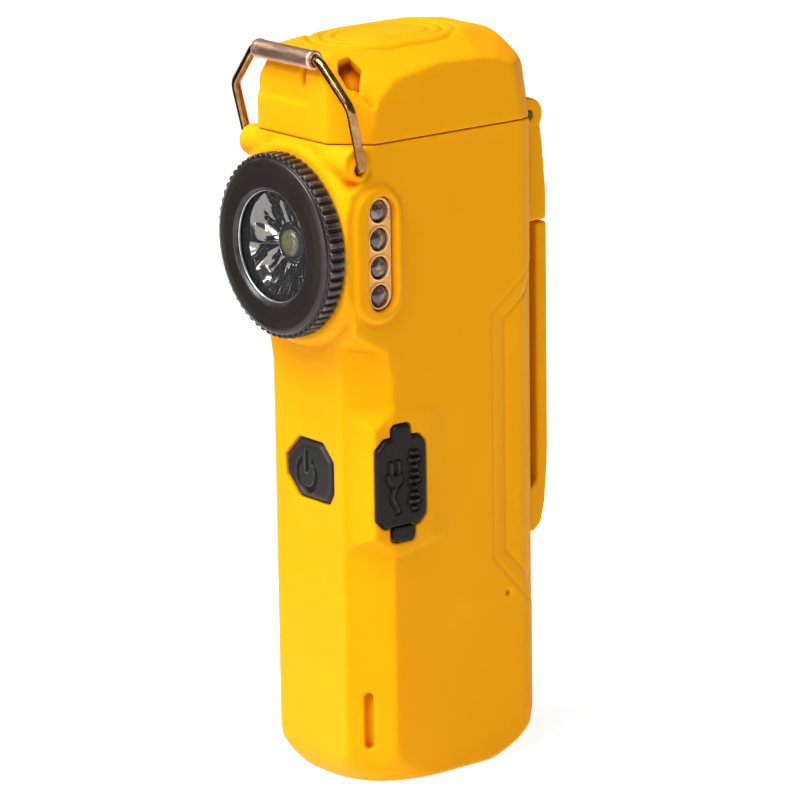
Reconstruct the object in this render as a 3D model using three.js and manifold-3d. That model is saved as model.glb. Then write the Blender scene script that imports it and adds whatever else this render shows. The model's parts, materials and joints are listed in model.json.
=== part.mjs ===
// Firefighter's right-angle lamp: yellow housing with a flip lid, a wire bail, a turning lamp head,
// a side light, a power button, a charging port under a rubber cover and a sprung belt clip.
// Units are millimetres. The lamp stands on z = 0, its front faces -Y and its lamp axis is along -Y.
import * as THREE from 'three'
import { ConvexGeometry } from 'three/addons/geometries/ConvexGeometry.js'
import { mergeVertices } from 'three/addons/utils/BufferGeometryUtils.js'
import Module from 'manifold-3d'

const wasm = await Module()
wasm.setup()

// ---- driving dimensions -------------------------------------------------------------------
const HALF_W = 20 // the side planes are at x = +-20
const FRONT_Y = -26.3 // front plane of the lower body
const BACK_Y = 26 // back plane of the body
const FRONT_FLAT = 12.4 // half width of the front flat between its two chamfers
const CHAMFER_Y = -17.6 // where the lower front chamfers meet the sides
const BACK_R = 6.6 // radius of the back corners
const WALL = 2.4
const FLOOR_Z = 3
const SEAM_Z = 149.1 // the housing ends here and the lid starts SEAM_GAP above it
const SEAM_GAP = 0.3
const LID_FRONT_Y = -29.3
const LID_TOP_Z = 169.8

const LAMP_Z = 125.2 // height of the lamp axis
const COLLAR_R = 22.8
const COLLAR_Y = -30.4 // front face of the collar behind the bezel
const BEZEL_R = 20.9
const BEZEL_BACK_Y = -30.7
const BEZEL_FRONT_Y = -36.1
const BEZEL_RIBS = 60
const NECK_R = 17
const NECK_BACK_Y = -24.6

const CELL_R = 9.2
const CELL_LENGTH = 65.2
const TUBE_Y = 10 // the cells stand one on the other in a tube at this depth
const TUBE_R = 9.8
const TUBE_WALL = 1.4

const BUTTON = { x: 0.3, z: 72.4, front: -26.6, halfW: 8.5, halfH: 6.7 }
const PORT = { y: -15.75, z: 71.8, face: 20.35, plateX: 21.2, seatX: 19.45 }
const SIDE_LIGHT = { y: -20.3, z: 124.6, pitch: 6.4, halfLength: 13.1, halfWidth: 3.9, frameX: 21.2 }
const BAIL_PIVOT = [-25.6, 144.2] // y and z of the bail's axis
const BAIL_BAR = [-30.2, 167.8] // y and z of the bar inside the sleeve
const WIRE_R = 1.1
const SLEEVE_R = 2.25
const LID_AXIS = [26.9, 148.7] // y and z of the lid's hinge
const CLIP_AXIS = [29.6, 126.4] // y and z of the clip's hinge
const CLIP_HALF_W = 15

// ---- building blocks ----------------------------------------------------------------------
function asSolid(geometry) {
  const bare = geometry.clone()
  bare.deleteAttribute('normal')
  bare.deleteAttribute('uv')
  const welded = mergeVertices(bare, 1e-4)
  return new wasm.Manifold(new wasm.Mesh({
    numProp: 3,
    vertProperties: Float32Array.from(welded.attributes.position.array),
    triVerts: Uint32Array.from(welded.index.array)
  }))
}

function asGeometry(solid) {
  const mesh = solid.getMesh()
  const geometry = new THREE.BufferGeometry()
  geometry.setAttribute('position', new THREE.BufferAttribute(mesh.vertProperties, 3))
  geometry.setIndex(new THREE.BufferAttribute(mesh.triVerts, 1))
  geometry.computeVertexNormals()
  return geometry
}

function union(solids) {
  return solids.reduce((whole, next) => whole.add(next))
}

function cut(solid, tools) {
  return tools.reduce((left, tool) => left.subtract(tool), solid)
}

// Convex body around a list of [x, y, z] points.
function hull(points) {
  return asSolid(new ConvexGeometry(points.map((p) => new THREE.Vector3(...p))))
}

function box(low, high) {
  const size = high.map((v, i) => v - low[i])
  const geometry = new THREE.BoxGeometry(...size)
  geometry.translate(...low.map((v, i) => v + size[i] / 2))
  return asSolid(geometry)
}

// Extrudes a 2D outline along an axis. Along x the outline is (y, z), along y it is (x, z),
// and along z it is (x, y).
function prism(outline, axis, from, to, holes = []) {
  const flip = axis === 'y' ? -1 : 1
  const place = (points) => points.map(([a, b]) => new THREE.Vector2(a, flip * b))
  const shape = new THREE.Shape(place(outline))
  shape.holes = holes.map((hole) => new THREE.Path(place(hole)))
  const geometry = new THREE.ExtrudeGeometry(shape, { depth: to - from, bevelEnabled: false })
  geometry.translate(0, 0, from)
  const turn = new THREE.Matrix4()
  if (axis === 'x') turn.set(0, 0, 1, 0, 1, 0, 0, 0, 0, 1, 0, 0, 0, 0, 0, 1)
  if (axis === 'y') turn.makeRotationX(-Math.PI / 2)
  geometry.applyMatrix4(turn)
  return asSolid(geometry)
}

// Turns a closed profile of [radius, along] points about an axis through (u, v), the other two
// coordinates in x, y, z order.
function turned(profile, axis, centre, segments = 32) {
  const points = profile.map(([r, along]) => new THREE.Vector2(r, along))
  if (profile[0][0] > 0) points.push(points[0].clone())
  const geometry = new THREE.LatheGeometry(points, segments)
  const turn = new THREE.Matrix4()
  if (axis === 'x') turn.makeRotationZ(-Math.PI / 2)
  if (axis === 'z') turn.makeRotationX(Math.PI / 2)
  geometry.applyMatrix4(turn)
  const [u, v] = centre
  if (axis === 'x') geometry.translate(0, u, v)
  if (axis === 'y') geometry.translate(u, 0, v)
  if (axis === 'z') geometry.translate(u, v, 0)
  const solid = asSolid(geometry)
  return solid.volume() < 0 ? asSolid(flipped(geometry)) : solid
}

function flipped(geometry) {
  const copy = geometry.clone()
  const index = copy.index.array
  for (let i = 0; i < index.length; i += 3) {
    const first = index[i]
    index[i] = index[i + 1]
    index[i + 1] = first
  }
  return copy
}

function rod(radius, from, to) {
  return [[0, from], [radius, from], [radius, to], [0, to]]
}

function pipe(inner, outer, from, to) {
  return [[inner, from], [outer, from], [outer, to], [inner, to]]
}

function arc(centre, radius, fromDeg, toDeg, steps) {
  return Array.from({ length: steps + 1 }, (_, i) => {
    const angle = THREE.MathUtils.degToRad(fromDeg + (toDeg - fromDeg) * i / steps)
    return [centre[0] + radius * Math.cos(angle), centre[1] + radius * Math.sin(angle)]
  })
}

// Upright slot outline with round ends, centred on (a, b).
function stadium(a, b, halfWidth, halfLength, steps = 10) {
  const reach = halfLength - halfWidth
  return [
    ...arc([a, b + reach], halfWidth, 0, 180, steps),
    ...arc([a, b - reach], halfWidth, 180, 360, steps)
  ]
}

function octagon(a, b, halfW, halfH, corner) {
  return [
    [a - halfW + corner, b - halfH], [a + halfW - corner, b - halfH],
    [a + halfW, b - halfH + corner], [a + halfW, b + halfH - corner],
    [a + halfW - corner, b + halfH], [a - halfW + corner, b + halfH],
    [a - halfW, b + halfH - corner], [a - halfW, b - halfH + corner]
  ]
}

// Eight-sided outline of the power button, with two long corners and two short ones.
function buttonOutline(gap) {
  const w = BUTTON.halfW + gap
  const h = BUTTON.halfH + gap
  return [
    [-w + 4.6, -h], [w - 1.8, -h], [w, -h + 3], [w, h - 3.8],
    [w - 3.8, h], [-w + 5.2, h], [-w, h - 5.2], [-w + 0.3, -h + 4]
  ].map(([x, z]) => [x + BUTTON.x, z + BUTTON.z])
}

// Plan outline of the body seen from above, moved inwards by inset.
function plan(inset, front, sideStart, back = BACK_Y, backRadius = BACK_R) {
  const w = HALF_W - inset
  const flat = FRONT_FLAT - 0.41 * inset
  const side = sideStart + 0.41 * inset
  const r = Math.max(backRadius - inset, 1.5)
  return [
    [-flat, front + inset], [flat, front + inset], [w, side],
    ...arc([w - r, back - inset - r], r, 0, 90, 5),
    ...arc([r - w, back - inset - r], r, 90, 180, 5),
    [-w, side]
  ]
}

// Plan outline near the bottom edge, where each wall is drawn in by its own amount.
function foot(frontIn, chamferIn, sideIn, backIn) {
  const run = HALF_W - FRONT_FLAT
  const rise = CHAMFER_Y - FRONT_Y
  const length = Math.hypot(run, rise)
  const startX = FRONT_FLAT - chamferIn * rise / length
  const startY = FRONT_Y + chamferIn * run / length
  const front = FRONT_Y + frontIn
  const w = HALF_W - sideIn
  const flat = startX + (front - startY) * run / rise
  const side = startY + (w - startX) * rise / run
  const corner = [w - BACK_R, BACK_Y - backIn - BACK_R]
  return [
    [-flat, front], [flat, front], [w, side], ...arc(corner, BACK_R, 0, 90, 5),
    ...arc([-corner[0], corner[1]], BACK_R, 90, 180, 5), [-w, side]
  ]
}

// The same outline with the corners ahead of its middle rounded by a radius.
function easedFront(outline, radius) {
  return outline.flatMap(([x, y], i) => {
    if (y > 0 || radius === 0) return [[x, y]]
    const towards = [outline.at(i - 1), outline[(i + 1) % outline.length]].map(([px, py]) => {
      const length = Math.hypot(px - x, py - y)
      return [(px - x) / length, (py - y) / length, length]
    })
    const [[ax, ay, before], [bx, by, after]] = towards
    const turn = Math.PI - Math.acos(ax * bx + ay * by)
    const reach = Math.min(radius * Math.tan(turn / 2), before * 0.49, after * 0.49)
    return [0, 0.25, 0.5, 0.75, 1].map((t) => {
      const back = reach * (1 - t) ** 2
      const on = reach * t ** 2
      return [x + ax * back + bx * on, y + ay * back + by * on]
    })
  })
}

function atHeight(outline, z) {
  return outline.map(([x, y]) => [x, y, z])
}

// Round wire along a path of [x, y, z] corners, each corner rounded with the given reach.
function wire(corners, radius, reach, steps, sides = 8) {
  const points = corners.map((p) => new THREE.Vector3(...p))
  const path = new THREE.CurvePath()
  let start = points[0]
  for (let i = 1; i < points.length - 1; i++) {
    const before = points[i].clone().lerp(start, reach / points[i].distanceTo(start))
    const after = points[i].clone().lerp(points[i + 1], reach / points[i].distanceTo(points[i + 1]))
    path.add(new THREE.LineCurve3(start, before))
    path.add(new THREE.QuadraticBezierCurve3(before, points[i], after))
    start = after
  }
  path.add(new THREE.LineCurve3(start, points.at(-1)))
  return alongPath(path, radius, steps, sides)
}

function alongPath(path, radius, steps, sides = 8) {
  const section = new THREE.Shape(arc([0, 0], radius, 0, 360 - 360 / sides, sides - 1)
    .map(([a, b]) => new THREE.Vector2(a, b)))
  return asSolid(new THREE.ExtrudeGeometry(section, { extrudePath: path, steps, bevelEnabled: false }))
}

// Upright coil spring between two heights, its radius changing evenly from the first to the last.
function coil(centre, fromR, toR, fromZ, toZ, turns, wireR) {
  const points = Array.from({ length: turns * 10 + 1 }, (_, i) => {
    const t = i / (turns * 10)
    const r = fromR + (toR - fromR) * t
    const angle = 2 * Math.PI * turns * t
    return new THREE.Vector3(
      centre[0] + r * Math.cos(angle), centre[1] + r * Math.sin(angle), fromZ + (toZ - fromZ) * t)
  })
  return alongPath(new THREE.CatmullRomCurve3(points), wireR, turns * 12, 6)
}

// ---- materials and the list of pieces -----------------------------------------------------
const LOOKS = {
  yellow_plastic: [0xf7b50a, 0.45, 0],
  black_plastic: [0x3a383b, 0.4, 0],
  black_rubber: [0x2e2c2e, 0.7, 0],
  copper_wire: [0xb4744a, 0.25, 1],
  copper_sleeve: [0xc58a68, 0.3, 1],
  clear_lens: [0xdfe8ee, 0.05, 0],
  mirror_coat: [0xd9dadd, 0.08, 1],
  amber_window: [0xc87a1e, 0.3, 0],
  smoke_led: [0x6f5a60, 0.15, 0],
  emitter: [0xa3a24a, 0.4, 0],
  steel: [0xb9bcc0, 0.3, 1],
  aluminium: [0xc4c6c8, 0.4, 1],
  circuit_board: [0x1f6b3a, 0.5, 0],
  cell_wrap: [0x2f6fb5, 0.35, 0],
  lead_red: [0xb3261c, 0.5, 0],
  lead_black: [0x1d1c1d, 0.5, 0],
  inner_plastic: [0x8a8d90, 0.6, 0]
}
const materials = Object.fromEntries(Object.entries(LOOKS).map(([name, [color, roughness, metalness]]) => [
  name, new THREE.MeshStandardMaterial({ name, color, roughness, metalness })
]))
const lamp = new THREE.Group()
lamp.name = 'firefighter_flashlight'

function piece(name, look, solid) {
  const mesh = new THREE.Mesh(asGeometry(solid), materials[look].clone())
  mesh.material.name = look
  mesh.name = name
  lamp.add(mesh)
}

// ---- housing ------------------------------------------------------------------------------
// Heights above the base, how far the front, chamfers, sides and back are drawn in there, and
// the radius that rounds the corners between them.
const bottomRings = [
  [0, 2.9, 3.4, 0.7, 11.4, 20], [0.6, 2.5, 2.8, 0.2, 9.5, 18], [1.6, 1.9, 2, 0.1, 7.3, 15],
  [3.2, 1, 0.9, 0, 3.8, 12], [6, 0.2, 0.1, 0, 0.8, 4], [10, 0, 0, 0, 0, 0]
]
const lowerBody = hull([
  ...bottomRings.flatMap(([z, front, chamfer, side, back, radius]) =>
    atHeight(easedFront(foot(front, chamfer, side, back), radius), z)),
  ...atHeight(plan(0, FRONT_Y, CHAMFER_Y), SEAM_Z)
])
// The head swells forward from z = 95 and keeps the same chamfers.
const head = hull([
  ...atHeight(plan(0, FRONT_Y, CHAMFER_Y), 95.4),
  ...atHeight(plan(0, -28, -20.2), 107.3),
  ...atHeight(plan(0, -29.2, -21.6), SEAM_Z)
])
// Square corners beside the lamp, closed off below by a slanted three-cornered facet.
const headCorners = hull([-1, 1].flatMap((side) => [
  [side * HALF_W, -28, 107.3], [side * HALF_W, -28.8, 138.5], [side * HALF_W, -17.6, 101],
  [side * HALF_W, -20.5, 143.5], [side * 6, -26.9, 99.4], [side * FRONT_FLAT, -29, 141.5]
]))
const collar = turned(
  [[0, -20], [COLLAR_R + 0.6, -20], [COLLAR_R + 0.6, -28.6], [COLLAR_R, -29.6],
    [COLLAR_R - 1, COLLAR_Y], [0, COLLAR_Y]], 'y', [0, LAMP_Z], 48)
  .intersect(box([-HALF_W - 0.4, -40, 90], [HALF_W + 0.4, 0, 160]))
const bailLugs = [-1, 1].map((side) => turned(
  [[0, 10], [3.6, 10], [3.6, 19], [3.2, 19.4], [0, 19.4]].map(([r, along]) => [r, side * along]),
  'x', [BAIL_PIVOT[0] - 0.5, BAIL_PIVOT[1] + 1.3], 24))
const sideLightFrame = hull([
  [HALF_W - 6, 0], [SIDE_LIGHT.frameX - 0.7, 0], [SIDE_LIGHT.frameX, -0.7]
].flatMap(([x, grow]) => stadium(SIDE_LIGHT.y - 0.9, SIDE_LIGHT.z,
  SIDE_LIGHT.halfWidth + 2.8 + grow, SIDE_LIGHT.halfLength + 2.3 + grow, 8)
  .map(([y, z]) => [x, y, z])))
const portBoss = hull([
  [PORT.face, -23.2, 59.5], [PORT.face, -23.2, 84.5], [PORT.face, -7.6, 59.5], [PORT.face, -7.6, 84.5],
  [14.8, -24.3, 57.5], [14.8, -24.3, 86.5], [15, -17, 55.5], [15, -17, 88.5],
  [HALF_W, -17, 55.5], [HALF_W, -17, 88.5], [HALF_W, -6.2, 57.5], [HALF_W, -6.2, 86.5]
])
// Block on the back that carries the clip and the lid's two outer knuckles.
const spine = prism(
  [[24, 123.9], [31.9, 123.9], [31.9, 130.5], [30.9, 142], [30, 148], [24, 148]],
  'x', -CLIP_HALF_W, CLIP_HALF_W)
const knuckles = turned(rod(3.9, -CLIP_HALF_W, CLIP_HALF_W), 'x', LID_AXIS, 28)
const innerPlan = plan(WALL, FRONT_Y, CHAMFER_Y)
const hollow = hull([
  ...atHeight(plan(3.4, FRONT_Y, CHAMFER_Y, 24.6), FLOOR_Z),
  ...atHeight(innerPlan, 9),
  ...atHeight(innerPlan, SEAM_Z + 1)
])
const hingeRib = box([-10, 21.6, 138], [10, 25, SEAM_Z])
const boardRails = [-1, 1].flatMap((side) => [[-18.9, -17.6], [-15.6, -14.4]].map(([low, high]) => {
  const xs = [side * 15.8, side * 18].sort((a, b) => a - b)
  return box([xs[0], low, 28], [xs[1], high, 100])
}))
const portPlateSeat = [
  prism(octagon(PORT.y, PORT.z, 7.1, 10.5, 2.2), 'x', PORT.seatX, 24),
  prism(octagon(PORT.y, PORT.z, 2.9, 13.5, 1), 'x', PORT.seatX, 24),
  prism(octagon(PORT.y + 0.35, PORT.z - 10.1, 3.5, 3.8, 1), 'x', PORT.seatX, 24)
]
const shell = cut(
  union([lowerBody, head, headCorners, collar, ...bailLugs, sideLightFrame, portBoss, spine, knuckles]),
  [hollow])
const housing = cut(union([shell, hingeRib, ...boardRails]), [
  turned(rod(17.3, -40, -22), 'y', [0, LAMP_Z], 48), // bore for the lamp head's neck
  turned(pipe(17.9, 19.1, -40, -29.3), 'y', [0, LAMP_Z], 48), // groove for the bezel's seal
  prism(stadium(SIDE_LIGHT.y, SIDE_LIGHT.z, SIDE_LIGHT.halfWidth, SIDE_LIGHT.halfLength), 'x', 12, 30),
  prism(buttonOutline(0.3), 'y', -40, -22),
  ...portPlateSeat,
  box([12, -16.9, 66.2], [24, -11.3, 77.2]), // way through the wall to the socket
  box([14.5, -16.2, 62], [19, -11, 80]), // room around the socket
  ...[-1, 1].map((side) => turned(rod(WIRE_R + 0.15, side * 15.9, side * 22), 'x', BAIL_PIVOT, 16)),
  prism(stadium(0, 0, 1, 6.7, 4), 'x', -2, 2) // tether slot in the lower chamfer
    .rotate([0, 0, -45]).translate([15.9, -22.5, 15.6]),
  turned(rod(3.8, -7.9, 7.9), 'x', LID_AXIS, 28), // room for the lid's middle knuckle
  box([-7.9, 20, SEAM_Z], [7.9, 34, 160]),
  box([-7.9, 25.6, 147], [7.9, 34, 160]),
  turned(rod(1.15, -CLIP_HALF_W - 1, CLIP_HALF_W + 1), 'x', LID_AXIS, 20),
  box([-9.3, 27, 120], [9.3, 36, CLIP_AXIS[1] + 0.7]), // room for the clip's neck and knuckles
  turned(rod(2.55, -9.3, 9.3), 'x', CLIP_AXIS, 24),
  turned(rod(1.1, -13.6, 13.6), 'x', CLIP_AXIS, 20)
])
piece('main_housing', 'yellow_plastic', housing)

// ---- lid ----------------------------------------------------------------------------------
const LID_Z = SEAM_Z + SEAM_GAP
const lidOuter = hull([
  ...atHeight(plan(0, LID_FRONT_Y, -21.7), LID_Z),
  ...atHeight(plan(0, LID_FRONT_Y, -21.4, 25.2), 153.3),
  ...[-1, 1].flatMap((side) => [
    [side * 20, -21.4, 157.5], [side * 20, -15.7, 163], [side * 20, -3, 165.3],
    [side * 20, 8.4, 164.9], [side * 20, 13, 164], [side * 20, 18, 162.1],
    [side * FRONT_FLAT, LID_FRONT_Y, 161.8],
    [side * 10.4, LID_FRONT_Y, 164.4], [side * 9.4, -25.9, 168.6], [side * 9.6, -19, LID_TOP_Z - 0.5],
    [side * 10.5, -8, LID_TOP_Z], [side * 10.5, 11, LID_TOP_Z], [side * 5, 18, LID_TOP_Z - 0.1],
    [side * 7, 22, 168.5], [side * 10, 22, 167.5], [side * 13, 23.4, 164.7],
    [side * 15, 23.6, 163.3], [side * 16.3, 23.7, 161.6], [side * 11, 25.2, 162.5]
  ])
])
const lidHollow = hull([
  ...atHeight(plan(2.6, LID_FRONT_Y, -21.7, 23), LID_Z - 1),
  ...atHeight(plan(2.6, LID_FRONT_Y, -21.4, 23), 155),
  [-8, -18, 166.5], [8, -18, 166.5], [-8, 10, 166.5], [8, 10, 166.5]
])
const lidKnuckle = turned(rod(3.4, -7.6, 7.6), 'x', LID_AXIS, 28)
const lidScrewX = 12.6
const lidBosses = [-1, 1].map((side) => turned(rod(3, 151.8, 163), 'z', [side * lidScrewX, -8], 20))
// Deep six-sided pockets in the lid's front corners, sunk square to the sloping surface.
const pocketMouth = [
  [11.9, -22, 168], [15.1, -20.9, 165.1], [16.8, -22.9, 160.9], [15.3, -25, 161.5],
  [12.5, -25.6, 164.9], [11.5, -24.6, 167.2]
]
const pocketOut = [0.71, -0.45, 0.54]
const pockets = [-1, 1].map((side) => hull([[2, 1.1], [-2.2, 0.85]].flatMap(([out, spread]) =>
  pocketMouth.map((corner) => {
    const [x, y, z] = corner.map((value, i) =>
      [13.9, -23.5, 164.6][i] * (1 - spread) + value * spread + out * pocketOut[i])
    return [side * x, y, z]
  }))))
const lid = cut(union([
  cut(lidOuter, [lidHollow, ...pockets]),
  ...lidBosses.map((boss) => boss.intersect(lidOuter)),
  lidKnuckle
]), [
  ...[-1, 1].map((side) => turned(rod(4.3, side * 7.6, side * 15.4), 'x', LID_AXIS, 28)),
  turned(rod(1.2, -9, 9), 'x', LID_AXIS, 20),
  ...[-1, 1].map((side) => turned(rod(1.45, 151, 159), 'z', [side * lidScrewX, -8], 16)),
  ...[0, 1, 2].map((i) => prism( // three nested oval grooves on the top
    stadium(0, -5, 8.2 - 2.6 * i, 14 - 2.6 * i, 8), 'z', LID_TOP_Z - 0.5, LID_TOP_Z + 1,
    [stadium(0, -5, 7.5 - 2.6 * i, 13.3 - 2.6 * i, 8)]))
])
piece('top_lid', 'yellow_plastic', lid)
const platePlan = plan(3, LID_FRONT_Y, -21.7, 22.6)
piece('lid_plate', 'inner_plastic', cut(prism(platePlan, 'z', 149.8, 151.5), [-1, 1].map((side) =>
  turned(rod(1.6, 149, 153), 'z', [side * lidScrewX, -8], 16))))
for (const [i, side] of [-1, 1].entries()) {
  piece(`lid_screw_${i + 1}`, 'steel', turned(
    [[0, 148.4], [2.2, 148.4], [2.7, 148.9], [2.7, 149.7], [1.3, 149.7], [1.3, 158], [0, 158]],
    'z', [side * lidScrewX, -8], 16))
}
piece('lid_contact_spring', 'steel', coil([0, TUBE_Y], 1.8, 4.2, 140.2, 149, 4, 0.45))
piece('hinge_pin', 'steel', turned(rod(1.05, -14.8, 14.8), 'x', LID_AXIS, 20))

// ---- battery column and top deck ------------------------------------------------------------
const deckPlan = plan(2.8, FRONT_Y, CHAMFER_Y, 24.2, 6)
const tubeOuter = TUBE_R + TUBE_WALL
piece('battery_tube', 'inner_plastic', turned(
  [[0, 3.3], [tubeOuter, 3.3], [tubeOuter, 146.4], [TUBE_R, 146.4], [TUBE_R, 4.8], [0, 4.8]],
  'z', [0, TUBE_Y], 32))
piece('inner_deck', 'inner_plastic', cut(
  prism(deckPlan, 'z', 144.4, 146.2), [turned(rod(tubeOuter + 0.3, 140, 150), 'z', [0, TUBE_Y], 32)]))
piece('lid_seal', 'black_rubber', prism(deckPlan, 'z', 146.4, 149,
  [plan(4.4, FRONT_Y, CHAMFER_Y, 24.2, 6)]))
piece('bottom_contact', 'steel', turned(rod(8.4, 5, 5.8), 'z', [0, TUBE_Y], 24))
piece('bottom_spring', 'steel', coil([0, TUBE_Y], 5, 2.6, 6.4, 8.3, 3, 0.45))
for (const [i, name] of ['battery_cell_lower', 'battery_cell_upper'].entries()) {
  const base = 9 + i * (CELL_LENGTH + 0.2)
  const top = base + CELL_LENGTH
  piece(name, 'cell_wrap', turned([
    [0, base], [CELL_R - 0.5, base], [CELL_R, base + 0.6], [CELL_R, top - 2.1], [CELL_R - 0.7, top - 1.5],
    [4.2, top - 1.5], [4.2, top - 0.3], [3.8, top], [0, top]
  ], 'z', [0, TUBE_Y], 24))
}

// ---- bail -----------------------------------------------------------------------------------
const bailSide = [[16.3, ...BAIL_PIVOT], [20.6, ...BAIL_PIVOT], [20.9, -28.9, 158.4], [11.9, ...BAIL_BAR]]
const bailCorners = [
  ...bailSide.map(([x, y, z]) => [-x, y, z]),
  ...bailSide.toReversed()
]
piece('bail_wire', 'copper_wire', wire(bailCorners, WIRE_R, 1.6, 74))
piece('bail_sleeve', 'copper_sleeve', turned([
  [WIRE_R + 0.15, -10.4], [SLEEVE_R - 0.2, -10.4], [SLEEVE_R, -10.1], [SLEEVE_R, 10.1],
  [SLEEVE_R - 0.2, 10.4], [WIRE_R + 0.15, 10.4]
], 'x', BAIL_BAR, 24))

// ---- lamp head ------------------------------------------------------------------------------
const ribPitch = 360 / BEZEL_RIBS
const ribOutline = Array.from({ length: BEZEL_RIBS }, (_, i) => i * ribPitch).flatMap((deg) => [
  ...arc([0, LAMP_Z], BEZEL_R, deg + 0.1 * ribPitch, deg + 0.54 * ribPitch, 1),
  ...arc([0, LAMP_Z], BEZEL_R - 0.7, deg + 0.64 * ribPitch, deg + ribPitch, 1)
])
const bezelBody = turned([
  [15, NECK_BACK_Y], [NECK_R, NECK_BACK_Y], [NECK_R, BEZEL_BACK_Y], [19.4, BEZEL_BACK_Y],
  [19.4, -34.7], [19.9, -34.9], [19.7, -35.2], [18.4, -35.7], [16.6, BEZEL_FRONT_Y],
  [13.4, BEZEL_FRONT_Y],
  [12.6, -35.4], [12.6, -34.5], [15, -34.5]
], 'y', [0, LAMP_Z], 48)
const grip = cut(prism(ribOutline, 'y', -34.6, BEZEL_BACK_Y - 0.2),
  [turned(rod(18.5, -40, -20), 'y', [0, LAMP_Z], 48)])
piece('bezel_ring', 'black_plastic', bezelBody.add(grip))
piece('bezel_seal', 'black_rubber', turned(
  arc([18.5, -30.05], 0.5, 0, 300, 5), 'y', [0, LAMP_Z], 36))
piece('front_lens', 'clear_lens', turned(rod(14.7, -34.3, -33.3), 'y', [0, LAMP_Z], 48))
piece('lens_retainer', 'steel', turned(pipe(12.2, 14.7, -33.15, -32.85), 'y', [0, LAMP_Z], 36))
piece('reflector', 'mirror_coat', turned([
  [4.7, -29.1], [4.7, -29.7], [7, -30.2], [9.6, -31.2], [11.6, -32.2], [12.5, -32.7], [14.6, -32.7],
  [14.6, -31.9], [12.9, -31.9], [10.2, -30.5], [7.4, -29.4], [5.6, -29.1]
], 'y', [0, LAMP_Z], 36))
piece('main_led', 'emitter', turned([
  [0, -31.3], [0.9, -31.15], [1.7, -30.7], [2.2, -30], [2.3, -29.7], [4.2, -29.7], [4.2, -28.6], [0, -28.6]
], 'y', [0, LAMP_Z], 24))
piece('led_star_board', 'aluminium', turned(rod(11, -28.5, -27), 'y', [0, LAMP_Z], 24))
const fins = [0, 2.4, 4.8, 7.2, 9.6].flatMap((step) => [
  [12.8, -22.6 + step], [12.8, -21.4 + step], [7, -21.4 + step], [7, -20.2 + step]
])
piece('heat_sink', 'aluminium', turned(
  [[0, -26.8], [12.8, -26.8], ...fins, [0, -10.6]], 'y', [0, LAMP_Z], 24))

// ---- controls and electronics -----------------------------------------------------------------
const buttonDish = turned([[0, -27], [3.8, -27], [3.4, -26.35], [0, -26.35]], 'y', [0, BUTTON.z], 24)
piece('power_button', 'black_rubber', cut(union([
  prism(buttonOutline(0), 'y', BUTTON.front, -23.7),
  prism(buttonOutline(1.2), 'y', -23.7, -22.7),
  turned(rod(2, -22.8, -22), 'y', [0, BUTTON.z], 20)
]), [buttonDish]))
piece('driver_board', 'circuit_board', box([-16.6, -17.4, 30], [16.6, -15.8, 100]))
piece('switch_body', 'black_plastic', cut(
  box([-3, -20.6, BUTTON.z - 3], [3, -17.5, BUTTON.z + 3]),
  [turned(rod(1.9, -22, -19.3), 'y', [0, BUTTON.z], 16)]))
piece('switch_plunger', 'inner_plastic', turned(rod(1.6, -21.35, -20), 'y', [0, BUTTON.z], 16))
piece('driver_chip', 'black_plastic', box([-3, -18.7, 47], [3, -17.5, 53]))
piece('driver_coil', 'steel', turned(rod(4, -21.5, -17.5), 'y', [0, 88], 20))
const leadRoute = [[-16.6, 100.3], [-16.9, 106.6], [-22, 111.4], [-27.8, 111.4], [-27.8, 113.5]]
for (const [name, look, x] of [['lamp_lead_1', 'lead_red', -2.5], ['lamp_lead_2', 'lead_black', 2.5]]) {
  piece(name, look, wire(leadRoute.map(([y, z]) => [x, y, z]), 0.6, 0.9, 18, 6))
}
const socketOuter = octagon(-14.1, PORT.z, 1.6, 4.5, 1.1)
const socketInner = octagon(-14.1, PORT.z, 1.25, 4.15, 0.9)
piece('usb_socket', 'steel', union([
  cut(prism(socketOuter, 'x', 10.6, 17.9), [prism(socketInner, 'x', 12.2, 20)]),
  box([12, -14.45, PORT.z - 3.2], [17.2, -13.75, PORT.z + 3.2])
]))

// ---- port cover: the plate flips out and down about its lower edge, the tab below it stays put --
const portPlate = union([
  prism(octagon(PORT.y, PORT.z + 0.05, 6.8, 10.15, 2.1), 'x', PORT.seatX + 0.15, PORT.plateX),
  prism(octagon(PORT.y, PORT.z + 6, 2.6, 7.2, 0.9), 'x', PORT.seatX + 0.15, PORT.plateX),
  box([18.3, -16.5, 67], [PORT.seatX + 0.6, -11.9, 76.4])
])
piece('port_cover', 'black_rubber', portPlate)
piece('port_cover_anchor', 'black_rubber', prism(
  octagon(PORT.y + 0.35, 59.6, 3.2, 1.5, 0.8), 'x', PORT.seatX + 0.15, PORT.plateX))

// ---- side light --------------------------------------------------------------------------------
const ledHeights = [1.5, 0.5, -0.5, -1.5].map((step) => SIDE_LIGHT.z + step * SIDE_LIGHT.pitch)
const windowOutline = stadium(
  SIDE_LIGHT.y, SIDE_LIGHT.z, SIDE_LIGHT.halfWidth - 0.3, SIDE_LIGHT.halfLength - 0.3)
piece('side_window', 'amber_window', cut(
  prism(windowOutline, 'x', 18.2, 19.2),
  ledHeights.map((z) => turned(rod(2.7, 17, 21), 'x', [SIDE_LIGHT.y, z], 20))))
for (const [i, z] of ledHeights.entries()) {
  piece(`side_led_${i + 1}`, 'smoke_led', turned([
    [0, 15.4], [2.9, 15.4], [2.9, 16.4], [2.4, 16.4], [2.4, 18.4], [2.1, 19.4], [1.3, 20.1], [0, 20.4]
  ], 'x', [SIDE_LIGHT.y, z], 20))
}
piece('side_led_board', 'circuit_board', box([13.6, -23.4, 113.6], [15.2, -19.6, 136.1]))

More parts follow.
